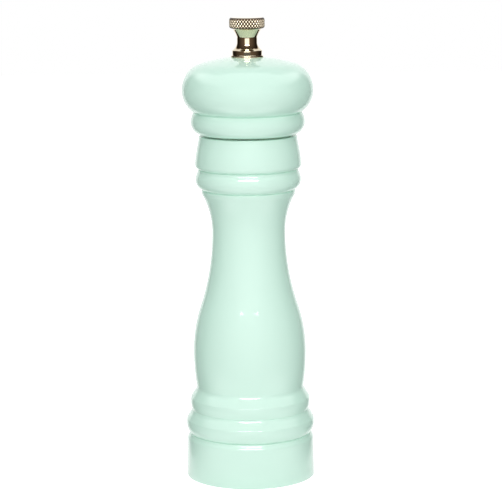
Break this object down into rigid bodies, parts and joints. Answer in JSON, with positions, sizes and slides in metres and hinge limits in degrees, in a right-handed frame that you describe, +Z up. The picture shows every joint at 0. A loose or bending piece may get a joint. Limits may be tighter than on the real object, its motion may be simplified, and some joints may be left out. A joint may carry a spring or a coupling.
{
  "type": "pepper mill",
  "caption": "Turned wooden pepper mill with a lacquered waisted body, a round head, a knurled thumb nut and a steel burr mill on a square shaft.",
  "frame": {"origin": "centre of the foot, on the surface that the mill stands on", "axes": "+Z up along the turning axis to the thumb nut; +X and +Y level, with the retaining bar along X"},
  "size_m": [0.0576, 0.0576, 0.2032],
  "materials": {
    "lacquered_wood": "hardwood, turned, sprayed with gloss mint-green lacquer",
    "nickel_plate": "brass, turned and knurled, bright nickel plate",
    "burr_steel": "hardened carbon steel, machined teeth",
    "plated_steel": "steel, stamped, zinc-plated",
    "spring_steel": "spring steel, drawn",
    "shaft_aluminium": "aluminium, drawn bar, turned ends",
    "bush_brass": "brass, turned"
  },
  "bodies": {
    "body": {"mill_body": "lacquered_wood", "stator": "burr_steel", "shaft_guide": "plated_steel", "retaining_bar": "plated_steel", "retaining_bar_screws": "plated_steel"},
    "bush": {"guide_bush": "bush_brass"},
    "shaft": {"drive_shaft": "shaft_aluminium", "rotor": "burr_steel", "rotor_clip": "spring_steel", "spring": "spring_steel"},
    "head": {"head": "lacquered_wood", "drive_plate": "plated_steel", "drive_plate_screws": "plated_steel"},
    "washer": {"nut_washer": "nickel_plate"},
    "nut": {"thumb_nut": "nickel_plate"}
  },
  "joints": [
    {"name": "mill_turn", "type": "hinge", "parent": "body", "child": "bush", "pos_m": [0, 0, 0.0365], "axis": [0, 0, 1], "continuous": true},
    {"name": "head_lift", "type": "slide", "parent": "bush", "child": "head", "axis": [0, 0, 1], "range_m": [0, 0.07]},
    {"name": "nut_lift", "type": "slide", "parent": "head", "child": "washer", "axis": [0, 0, 1], "range_m": [0, 0.016]},
    {"name": "nut_turn", "type": "hinge", "parent": "washer", "child": "nut", "pos_m": [0, 0, 0.1867], "axis": [0, 0, 1], "range_deg": [-180, 360]},
    {"name": "grind_adjust", "type": "slide", "parent": "bush", "child": "shaft", "axis": [0, 0, 1], "range_m": [-0.00105, 0.00052], "deforming": ["spring"]}
  ],
  "couplings": [
    {"joint": "nut_turn", "follows": "grind_adjust", "rad_per_m": -5927.5}
  ]
}
